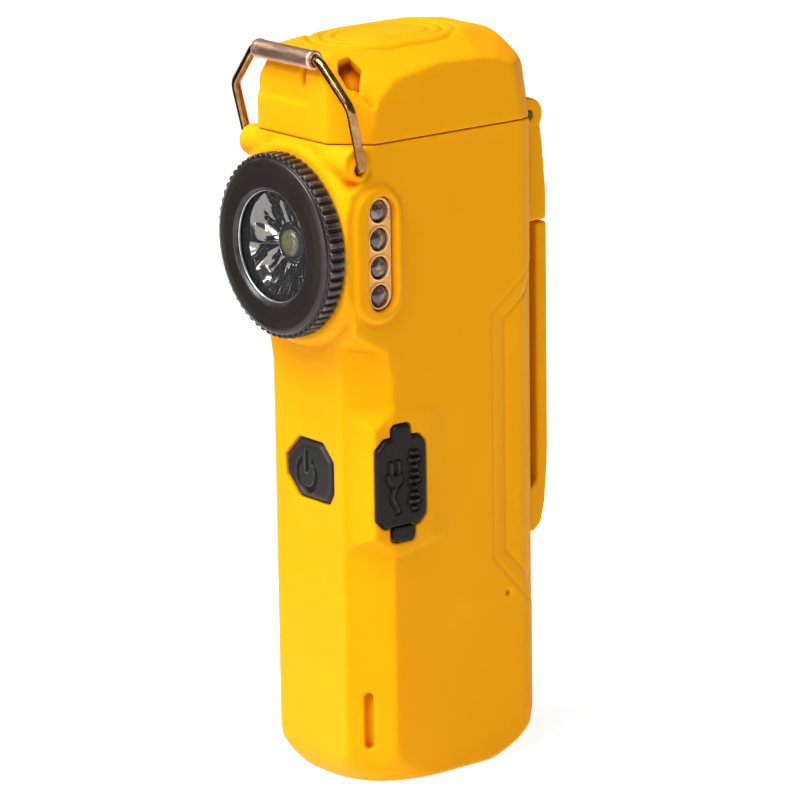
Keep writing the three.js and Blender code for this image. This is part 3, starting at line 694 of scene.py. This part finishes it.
def housing():
    clay = Clay((-24.5, -34.5, -2.5), (24.5, 35, 156), 0.4)
    lower_walls(clay)
    # Square corners beside the lamp, closed off below by a slanted three-cornered facet.
    corners = [(HALF_W, -28, 107.3), (HALF_W, -28.8, 138.5), (HALF_W, -17.6, 101),
               (HALF_W, -20.5, 143.5), (6, -26.9, 99.4), (FRONT_FLAT, -29, 141.5)]
    clay.join(hull([(side * a, b, c) for side in (-1, 1) for a, b, c in corners]), 0.2)
    # Collar around the lamp, trimmed at the sides, and the lugs of the bail.
    collar = [(0, -20), (COLLAR_R + 0.6, -20), (COLLAR_R + 0.6, -28.6), (COLLAR_R, -29.6),
              (COLLAR_R - 1, -30.4), (0, -30.4)]
    clay.join(turned(collar, "y", (0, LAMP_Z)), 0.8)
    for side in (-1, 1):
        near, far = sorted((side * (HALF_W + 0.4), side * 26))
        clay.cut(block((near, -36, 96), (far, 0, 156)))
        clay.join(rod(3.6, side * 10, side * 19.4, "x", (-26.1, 145.5)), 1.2)
        clay.join(rod(2.3, side * 14, side * 19.9, "x", BAIL_PIVOT), 0.6)
    # Raised frame of the side light, and the boss of the charging port.
    clay.join(prism(stadium(SIDE_Y - 0.9, SIDE_Z, 6.5, 15.2), "x", 14, 21.1), 0.9)
    boss = [(20.35, -23.2, 59.5), (20.35, -23.2, 84.5), (20.35, -7.6, 59.5), (20.35, -7.6, 84.5),
            (14.2, -24.6, 57), (14.2, -24.6, 87), (15, -17, 55.5), (15, -17, 88.5),
            (HALF_W, -17, 55.5), (HALF_W, -17, 88.5), (HALF_W, -6.2, 57.5), (HALF_W, -6.2, 86.5)]
    clay.join(hull(boss), 2.0)
    # Block on the back that carries the clip, with the lid's knuckles on top.
    spine = [(24, 123.9), (CLIP_OUTER_Y, 123.9), (CLIP_OUTER_Y, 130.5), (30.9, 142), (30, 148),
             (24, 148)]
    clay.join(prism(spine, "x", -CLIP_HALF_W, CLIP_HALF_W), 0.6)
    clay.join(rod(3.9, -CLIP_HALF_W, CLIP_HALF_W, "x", LID_AXIS))
    clay.soften(0.4)
    where, (x, y, z) = clay.window(((-24, 8, 30), (24, 26, 120)), 0)
    clay.field[where] += 0.7 * grip_contour(x, y, z) * (np.abs(x) > 17)
    # Level mouth for the lid, with the knuckles put back above it, and the hollow inside.
    clay.cut(block((-26, -36, SEAM_Z), (26, 40, 160)))
    clay.join(rod(3.9, -CLIP_HALF_W, CLIP_HALF_W, "x", LID_AXIS))
    inner = plan(WALL, SWELL_FRONT[0], SWELL_SIDE[0])
    floor_outline = plan(3.4, SWELL_FRONT[0], SWELL_SIDE[0], 24.6)
    clay.core = hull(at_height(floor_outline, 3) + at_height(inner, 9) + at_height(inner, 152))
    clay.cut(clay.core)
    # Thicker wall behind the hinge, rails that hold the driver board, and the bail's pivot holes.
    clay.join(block((-10, 21.6, 138), (10, 25, SEAM_Z)))
    for side in (-1, 1):
        near, far = sorted((side * 15.8, side * 18))
        clay.join(block((near, -18.9, 28), (far, -17.6, 100)))
        clay.join(block((near, -15.6, 28), (far, -14.4, 100)))
        clay.cut(rod(1.3, side * 15.9, side * 22, "x", BAIL_PIVOT), 0.3)
    # Openings for the lamp, its seal's groove, the side light, the button and the port.
    clay.cut(rod(17.3, -40, -22, "y", (0, LAMP_Z)))
    clay.cut(turned([(17.9, -40), (19.1, -40), (19.1, -29.3), (17.9, -29.3)], "y", (0, LAMP_Z)))
    clay.cut(prism(stadium(SIDE_Y, SIDE_Z, 3.9, 13.1), "x", 12, 30), 0.5)
    clay.cut(prism(button_outline(0.4), "y", -40, -22), 0.2)
    for outline in port_outlines(0.32):
        clay.cut(prism(outline, "x", 19.45, 24), 0.2)
    clay.cut(block((12, -16.9, 66.2), (24, -11.3, 77.2)))
    clay.cut(block((14.5, -16.2, 62), (19, -11, 80)))
    tether_slot(clay)
    # Room for the lid's middle knuckle and its pin, then for the clip's neck, spring and pin.
    clay.cut(rod(3.8, -7.9, 7.9, "x", LID_AXIS))
    clay.cut(block((-7.9, 20, SEAM_Z), (7.9, 34, 160)))
    clay.cut(block((-7.9, 25.6, 147), (7.9, 34, 160)))
    clay.cut(rod(1.15, -16, 16, "x", LID_AXIS))
    clay.cut(block((-9.3, 27, 120), (9.3, 36, 127.1)))
    clay.cut(rod(2.55, -9.3, 9.3, "x", CLIP_AXIS))
    clay.cut(rod(1.1, -13.6, 13.6, "x", CLIP_AXIS))
    # Small round dimple low on the right side.
    clay.cut(rod(0.7, 19.2, 22, "x", (15.5, 39.5)), 0.4)
    return clay.soften(0.2)


def button_outline(gap):
    """The button's eight-sided outline: two long corners and two short ones."""
    w, h = BUTTON_HALF_W + gap, BUTTON_HALF_H + gap
    corners = [(-w + 4.6, -h), (w - 1.8, -h), (w, -h + 3), (w, h - 3.8), (w - 3.8, h), (-w + 5.2, h),
               (-w, h - 5.2), (-w + 0.3, -h + 4)]
    return [(BUTTON_X + x, BUTTON_Z + z) for x, z in corners]


def port_outlines(gap):
    """Plate with its pull tab above, and the anchor tab below."""
    return [octagon(PORT_Y, PORT_Z + 0.05, 6.8 + gap, 10.15 + gap, 2.1),
            octagon(PORT_Y, PORT_Z + 6, 2.6 + gap, 7.2 + gap, 0.9),
            octagon(PORT_Y + 0.35, 60.6, 3.2 + gap, 2.5 + gap, 0.8)]


place("housing_shell", housing().mesh("housing_shell"), "yellow_plastic", "housing",
      ["main_housing"])


# ---- lid ------------------------------------------------------------------------------------
def lid_pockets():
    """Deep six-sided pockets in the front corners, sunk square to the sloping surface."""
    mouth = [(11.9, -22, 168), (15.1, -20.9, 165.1), (16.8, -22.9, 160.9), (15.3, -25, 161.5),
             (12.5, -25.6, 164.9), (11.5, -24.6, 167.2)]
    middle, out = Vector((13.9, -23.5, 164.6)), Vector((0.71, -0.45, 0.54))
    corners = [middle.lerp(Vector(corner), spread) + out * height
               for height, spread in ((2, 1.05), (-3.9, 0.9)) for corner in mouth]
    right = hull(corners)
    return right, mirrored(right)


def lid_marks(clay):
    """Ring grooves on top, and on the front a step, an upright mark and a slanting groove."""
    where, (x, y, z) = clay.window(((-14, -21.5, 164), (14, 16, 171)), 0)
    for half_width, half_length in ((12.6, 17.6), (9.6, 14.6), (6.6, 11.6)):
        away = np.abs(outline_distance(stadium(0, -3.5, half_width, half_length, 20), x, y))
        clay.field[where] += 0.4 * np.clip(1.5 - away / 0.5, 0, 1)
    where, (x, y, z) = clay.window(((-21, -31, 155), (12, -22, 166)), 0)
    step = np.clip(z - 156.7, 0, 1) * np.clip((7.5 - x) / 3.5, 0, 1)
    clay.field[where] += 0.5 * step * np.clip((-24 - y) / 2, 0, 1)
    where, (x, y, z) = clay.window(((2, -31, 160), (6, -27, 165)), 0)
    mark = np.hypot(x - 3.8, (z - 163.2) / 2.3)
    clay.field[where] += 0.8 * np.clip(1.5 - mark, 0, 1)
    where, (x, y, z) = clay.window(((15, -26, 156), (21, -19, 162)), 0)
    along = np.clip(((x - 17.2) * 2.1 + (y + 23) * 1.5 - (z - 160.3) * 2.4) / 12.4, 0, 1)
    away = np.sqrt((x - 17.2 - 2.1 * along) ** 2 + (y + 23 - 1.5 * along) ** 2
                   + (z - 160.3 + 2.4 * along) ** 2)
    clay.field[where] += 0.5 * np.clip(1.4 - away, 0, 1)


def lid_shell():
    clay = Clay((-22, -31.5, 147), (22, 32, 172), 0.35)
    # Corners where the slopes meet on the right half; the left half mirrors them.
    ridge = [(20, -21.4, 157.5), (20, -15.7, 163), (20, -3, 165.3), (20, 8.4, 164.9), (20, 13, 164),
             (20, 18, 162.1), (FRONT_FLAT, LID_FRONT_Y, 161.8), (10.4, LID_FRONT_Y, 164.4),
             (9.4, -25.9, 168.6), (9.6, -19, 169.3), (10.5, -8, 169.8), (10.5, 11, 169.8),
             (5, 18, 169.7), (7, 22, 168.5), (10, 22, 167.5), (13, 23.4, 164.7),
             (15, 23.6, 163.3), (16.3, 23.7, 161.6), (11, 25.2, 162.5)]
    outer = at_height(plan(0, LID_FRONT_Y, -21.7), LID_Z - 3)
    outer += at_height(plan(0, LID_FRONT_Y, -21.7), LID_Z)
    outer += at_height(plan(0, LID_FRONT_Y, -21.4, 25.2), 153.3)
    outer += [(side * a, b, c) for side in (-1, 1) for a, b, c in ridge]
    clay.join(hull(outer))
    clay.soften(0.6)
    for pocket in lid_pockets():
        clay.cut(pocket, 0.2)
    lid_marks(clay)
    # Level rim and the hollow inside, with posts for the inner plate's two screws.
    clay.cut(block((-26, -36, 140), (26, 40, LID_Z)))
    hollow = at_height(plan(2.6, LID_FRONT_Y, -21.7, 23), LID_Z - 1)
    hollow += at_height(plan(2.6, LID_FRONT_Y, -21.4, 23), 153)
    hollow += [(x, y, 165) for x in (-7, 7) for y in (-14, 10)]
    clay.core = hull(hollow)
    clay.cut(clay.core)
    for side in (-1, 1):
        clay.join(rod(3, 151.8, 163, "z", (side * 12.6, -8)))
    # Knuckle between the housing's two, room around those, and the bores for pin and screws.
    clay.join(rod(3.4, -7.6, 7.6, "x", LID_AXIS), 0.6)
    for side in (-1, 1):
        clay.cut(rod(4.3, side * 7.6, side * 15.4, "x", LID_AXIS))
        clay.cut(rod(1.45, 151, 159, "z", (side * 12.6, -8)))
    clay.cut(rod(1.2, -9, 9, "x", LID_AXIS))
    return clay.soften(0.18)


place("lid_shell", lid_shell().mesh("lid_shell"), "yellow_plastic", "lid", ["top_lid"])


# ---- belt clip ------------------------------------------------------------------------------
def clip():
    clay = Clay((-17, 24.5, 48.5), (17, 33.5, 130.5), 0.35)
    strap = [(CLIP_INNER_Y, 123.6), (CLIP_INNER_Y, 63.4), (27.8, 62.2), (26.3, 61), (26.3, 51.6),
             (27.3, 50.4), (29.7, 52.4), (30.9, 57), (31.5, 63), (CLIP_OUTER_Y, 70),
             (CLIP_OUTER_Y, 123.6)]
    clay.join(prism(strap, "x", -CLIP_HALF_W, CLIP_HALF_W))
    for side in (-1, 1):
        low, high = sorted((side * 3.5, side * 9))
        clay.join(rod(2.1, low, high, "x", CLIP_AXIS))
        clay.join(block((low, CLIP_INNER_Y, 123), (high, CLIP_OUTER_Y - 0.2, CLIP_AXIS[1])))
    clay.soften(0.25)
    # Sunken eight-sided panel and four grooves across the tip.
    where, (x, y, z) = clay.window(((-17, 30, 50), (17, 33.5, 124)), 0)
    panel = outline_distance(octagon(0, 96, 11, 22, 3), x, z)
    clay.field[where] += 0.6 * np.clip(0.5 - panel / 0.8, 0, 1)
    for height in (56, 59.5, 63, 66.5):
        groove = np.hypot(np.maximum(np.abs(x) - 9, 0), z - height)
        clay.field[where] += 0.5 * np.clip(1.6 - groove / 0.7, 0, 1)
    clay.cut(rod(1.15, -10, 10, "x", CLIP_AXIS))
    return clay.soften(0.2)


place("clip_strap", clip().mesh("clip_strap"), "yellow_plastic", "clip", ["belt_clip"])


# ---- lamp head ------------------------------------------------------------------------------
def bezel():
    clay = Clay((-22.2, -37.2, 102.8), (22.2, -23.4, 147.6), 0.22)
    body = [(15, -24.6), (17, -24.6), (17, -30.7), (19.4, -30.7), (19.4, -34.7), (19.9, -34.9),
            (19.7, -35.3), (18.6, -35.75), (16.6, -36.1), (13.4, -36.1), (12.6, -35.4),
            (12.6, -34.5), (15, -34.5)]
    clay.join(turned(body, "y", (0, LAMP_Z)))

    def grip(x, y, z):
        radius = np.hypot(x, z - LAMP_Z)
        turn = np.arctan2(z - LAMP_Z, x) * BEZEL_RIBS / (2 * math.pi)
        from_gap = np.abs(turn - np.round(turn)) * 2
        ribs = radius - BEZEL_R + 0.75 * np.clip((0.46 - from_gap) / 0.24, 0, 1)
        return np.maximum(np.maximum(ribs, 18.5 - radius), np.abs(y + 32.75) - 1.85)

    clay.join((((-21, -34.6, 104.3), (21, -30.9, 146.1)), grip))
    return clay.soften(0.16)


place("bezel_shell", bezel().mesh("bezel_shell"), "black_plastic", "bezel", ["bezel_ring"])
# Bright ring that lines the wall of the bezel's mouth.
trim = [(12.45, -34.6), (12.45, -35.02), (12.6, -35.15), (12.8, -35.02), (12.8, -34.6)]
place("bezel_trim", lathe("bezel_trim", trim, "y", (0, LAMP_Z), 180), "aluminium", "bezel")

BOWL = [(r, -29.7 - 3.0 * ((r - 4.7) / 7.8) ** 1.25) for r in np.linspace(4.7, 12.5, 22)]
bowl_back = [(r + 0.35, y + 0.75) for r, y in reversed(BOWL)]
place("reflector_bowl", lathe("reflector_bowl", BOWL + [(14.6, -32.7), (14.6, -31.95)] + bowl_back,
                              "y", (0, LAMP_Z), 180), "mirror_coat", "housing", ["reflector"])
dome = [(3.1 * math.sin(a), -29.9 - 1.4 * math.cos(a)) for a in np.linspace(0, math.pi / 2, 14)]
place("led_dome", lathe("led_dome", dome + [(3.1, -29.2), (0, -29.2)], "y", (0, LAMP_Z)),
      "emitter", "housing", ["main_led"])
place("led_base", lathe("led_base", [(3.3, -29.9), (3.9, -30.0), (4.25, -29.7), (4.25, -28.6),
                                     (3.3, -28.6)], "y", (0, LAMP_Z)), "black_plastic", "housing")


# ---- controls -------------------------------------------------------------------------------
def button():
    clay = Clay((-11, -28.2, 62), (11, -21.2, 83), 0.15)
    clay.join(prism(button_outline(-0.2), "y", BUTTON_Y, -23.7))
    clay.soften(0.6)
    clay.join(prism(button_outline(0.25), "y", -25.6, -23.7))
    clay.join(prism(button_outline(1.2), "y", -23.7, -22.7))
    clay.join(rod(2, -23.5, -22, "y", (0, BUTTON_Z)))
    where, (x, y, z) = clay.window(((-8, -28.2, 64), (8, -25.6, 80)), 0)
    x, z = x + 0.3, z - BUTTON_Z + 1.2
    ring = np.abs(np.hypot(x / 0.92, z) - 3.7) - 0.62
    ring = np.maximum(ring, 1.5 - np.hypot(x, np.maximum(1.6 - z, 0)))
    bar = np.hypot(x, np.maximum(np.abs(z - 3) - 2.2, 0)) - 0.55
    clay.field[where] += 0.85 * np.clip(0.5 - np.minimum(ring, bar) / 0.2, 0, 1)
    return clay.soften(0.12)


place("button_cap", button().mesh("button_cap"), "button_rubber", "button", ["power_button"])


def charge_marks(y, z):
    """Distance to the raised signs: an upright plug with its lead on the left, bars on the right."""
    y, z = y - PORT_Y, z - PORT_Z
    plug = np.maximum(np.hypot(y + 2.3, np.minimum(z - 1.4, 0)) - 2, z - 2.2)
    prongs = np.maximum(np.abs(np.abs(y + 2.3) - 1) - 0.36, np.abs(z - 3.4) - 1.7)
    lead = np.hypot(y + 2.3 - 0.7 * np.sin(z * 0.9 + 1), np.maximum(np.abs(z + 3.4) - 2.9, 0)) - 0.42
    signs = np.minimum(np.minimum(plug, prongs), lead)
    for step in range(9):
        height = -6.4 + 1.6 * step
        length = (0.4, 1.2, 0.8)[step % 3]
        bar = np.hypot(np.maximum(np.abs(y - 3.2) - length, 0), z - height) - 0.36
        signs = np.minimum(signs, bar)
    return signs


def cover():
    plate, pull_tab, _ = port_outlines(0)
    clay = Clay((17.5, -24.3, 60.1), (22.2, -7.2, 86.5), 0.15)
    clay.join(prism(plate, "x", 19.6, 21.05))
    clay.join(prism(pull_tab, "x", 19.6, 21.05))
    clay.soften(0.3)
    for outline in port_outlines(0.22)[:2]:
        clay.join(prism(outline, "x", 19.55, 20.1))
    clay.join(block((18.3, -16.5, 67), (20.05, -11.9, 76.4)))
    where, (x, y, z) = clay.window(((20.3, -23, 61.5), (22.2, -8.4, 82)), 0)
    marks = charge_marks(y, z)
    clay.field[where] -= 0.5 * np.clip(0.5 - marks / 0.25, 0, 1)
    clay.field[where] += 0.35 * np.clip(1 - np.abs(marks - 0.4) / 0.3, 0, 1)
    return clay.soften(0.12)


place("port_flap", cover().mesh("port_flap"), "black_rubber", "cover", ["port_cover"])

anchor = Clay((19, -20.2, 56.5), (21.8, -10.6, 62.6), 0.15)
anchor.join(prism(octagon(PORT_Y + 0.35, 59.85, 3.2, 1.75, 0.8), "x", 19.6, 21.1)).soften(0.25)
anchor.join(block((19.3, PORT_Y - 2.6, 59), (19.52, PORT_Y + 3.3, 62.4)))
place("port_anchor", anchor.mesh("port_anchor"), "black_rubber", "housing", ["port_cover_anchor"])


# ---- side light -----------------------------------------------------------------------------
led_heights = [SIDE_Z + step * SIDE_PITCH for step in (1.5, 0.5, -0.5, -1.5)]
window = Clay((17.2, -26.6, 110.4), (20.6, -16.4, 139.4), 0.15)
window.join(prism(stadium(SIDE_Y, SIDE_Z, 3.6, 12.8), "x", 18.2, 19.2))
for height in led_heights:
    window.join(turned([(2.5, 18.6), (3.05, 18.6), (3.05, 19.5), (2.5, 19.8)], "x", (SIDE_Y, height)), 0.2)
for height in led_heights:
    window.cut(rod(2.62, 17, 21, "x", (SIDE_Y, height)))
place("light_window", window.soften(0.12).mesh("light_window"), "amber_window", "housing",
      ["side_window"])
for i, height in enumerate(led_heights):
    lens = [(2.4 * math.cos(a), 18.3 + 1.5 * math.sin(a)) for a in np.linspace(0, math.pi / 2, 14)]
    profile = [(0, 15.4), (2.9, 15.4), (2.9, 16.4), (2.4, 16.4)] + lens[:-1] + [(0, 19.8)]
    place(f"led_lens_{i + 1}", lathe(f"led_lens_{i + 1}", profile, "x", (SIDE_Y, height), 48),
          "smoke_led", "housing", [f"side_led_{i + 1}"])


# ---- bail -----------------------------------------------------------------------------------
bail_side = [(16.3, *BAIL_PIVOT), (20.6, *BAIL_PIVOT), (20.9, -28.9, 158.4), (11.9, *BAIL_BAR)]
bail = rounded_path([(-x, y, z) for x, y, z in bail_side] + bail_side[::-1], 1.6)
place("bail_loop", round_wire("bail_loop", bail, WIRE_R), "copper_wire", "bail", ["bail_wire"])
tube = [(1.25, -10.4), (1.9, -10.4), (2.21, -10.2), (2.25, -9.6), (2.2, -9.2), (2.13, -8.6),
        (2.13, 8.6), (2.2, 9.2), (2.25, 9.6), (2.21, 10.2), (1.9, 10.4), (1.25, 10.4)]
place("bail_grip", lathe("bail_grip", tube, "x", BAIL_BAR, 64), "copper_sleeve", "sleeve",
      ["bail_sleeve"])


# ---- springs --------------------------------------------------------------------------------
def helix(centre, from_r, to_r, from_z, to_z, turns):
    points = []
    for i in range(turns * 32 + 1):
        t = i / (turns * 32)
        r = from_r + (to_r - from_r) * t
        angle = 2 * math.pi * turns * t
        points.append((centre[0] + r * math.cos(angle), centre[1] + r * math.sin(angle),
                       from_z + (to_z - from_z) * t))
    return points


place("lid_spring", round_wire("lid_spring", helix((0, TUBE_Y), 1.8, 4.2, 140.2, 149, 4), 0.42),
      "steel", "lid", ["lid_contact_spring"])
place("base_spring", round_wire("base_spring", helix((0, TUBE_Y), 5, 2.6, 6.4, 8.3, 3), 0.42),
      "steel", "housing", ["bottom_spring"])


# ---- CAD nodes that keep their shape ----------------------------------------------------------
replaced = {"main_housing", "top_lid", "belt_clip", "bezel_ring", "reflector", "main_led",
            "power_button", "port_cover", "port_cover_anchor", "side_window", "bail_wire",
            "bail_sleeve", "lid_contact_spring", "bottom_spring"}
replaced |= {f"side_led_{i}" for i in range(1, 5)}
slots = {entry["node"]: entry["material_slot"] for entry in frame["record"]["subparts"]}
for name, node in frame["nodes"].items():
    if name in replaced:
        continue
    node.data.materials.clear()
    node.data.materials.append(LOOKS[slots[name]])
    finish_edges(node, 0.15)


# ---- floor, light and camera ------------------------------------------------------------------
def area_light(name, place_m, target_m, size, power, colour=(1, 1, 1)):
    light = bpy.data.lights.new(name, "AREA")
    light.shape = "RECTANGLE"
    light.size, light.size_y = size
    light.energy = power
    light.color = colour
    lamp = bpy.data.objects.new(name, light)
    bpy.context.scene.collection.objects.link(lamp)
    lamp.location = place_m
    lamp.rotation_euler = (Vector(target_m) - Vector(place_m)).to_track_quat("-Z", "Y").to_euler()


floor_mesh = bpy.data.meshes.new("floor")
floor_mesh.from_pydata([(-8, -8, 0), (8, -8, 0), (8, 8, 0), (-8, 8, 0)], [], [(0, 1, 2, 3)])
floor_mesh.materials.append(pale_floor().material)
floor = bpy.data.objects.new("floor", floor_mesh)
bpy.context.scene.collection.objects.link(floor)
floor.location.z = -0.0002

# Black cards out of the picture, standing and lying ahead of the lamp, that its mirror looks at.
card_look = Look("dark_card", Specular_IOR_Level=0.0)
card_look.colour(card_look.mix(card_look.noise(20), (0.01, 0.01, 0.01), (0.02, 0.02, 0.02)))
card_corners = {"standing_card": [(-0.5, -0.1, 0), (-0.18, -0.5, 0), (-0.18, -0.5, 0.4), (-0.5, -0.1, 0.4)],
                "lying_card": [(-0.5, -0.1, 0), (-0.13, -0.06, 0), (-0.06, -0.3, 0), (-0.18, -0.5, 0)]}
for name, corners in card_corners.items():
    card_mesh = bpy.data.meshes.new(name)
    card_mesh.from_pydata(corners, [], [(0, 1, 2, 3)])
    card_mesh.materials.append(card_look.material)
    card = bpy.data.objects.new(name, card_mesh)
    bpy.context.scene.collection.objects.link(card)
    card.visible_camera = False
    card.visible_shadow = False

middle = (0, 0, 0.085)
area_light("key", (-0.08, -1.1, 1.85), middle, (1.5, 1.5), 90)
area_light("low_front", (0.1, -1.6, 0.3), middle, (0.5, 0.4), 4)
area_light("strip", (-0.42, -0.42, 0.3), (0, -0.03, 0.125), (0.03, 0.3), 0.25)

world = bpy.data.worlds.new("studio")
world.use_nodes = True
world.node_tree.nodes["Background"].inputs["Color"].default_value = (1, 1, 1, 1)
world.node_tree.nodes["Background"].inputs["Strength"].default_value = 0.16
bpy.context.scene.world = world

azimuth, elevation, roll = (math.radians(a) for a in (CAMERA_AZIMUTH, CAMERA_ELEVATION, CAMERA_ROLL))
right = Vector((math.cos(azimuth), math.sin(azimuth), 0))
back = Vector((math.sin(azimuth) * math.cos(elevation), -math.cos(azimuth) * math.cos(elevation),
               math.sin(elevation)))
up = back.cross(right)
turn = Matrix((right, up, back)).transposed() @ Matrix.Rotation(roll, 3, "Z")
camera_data = bpy.data.cameras.new("camera")
camera_data.lens = CAMERA_LENS
camera_data.sensor_width = 36
camera_data.clip_start = 0.01
camera = bpy.data.objects.new("camera", camera_data)
bpy.context.scene.collection.objects.link(camera)
camera.matrix_world = Matrix.Translation(CAMERA_PLACE) @ turn.to_4x4()
bpy.context.scene.camera = camera

bpy.context.scene.view_settings.view_transform = "Standard"
bpy.context.scene.view_settings.look = "None"
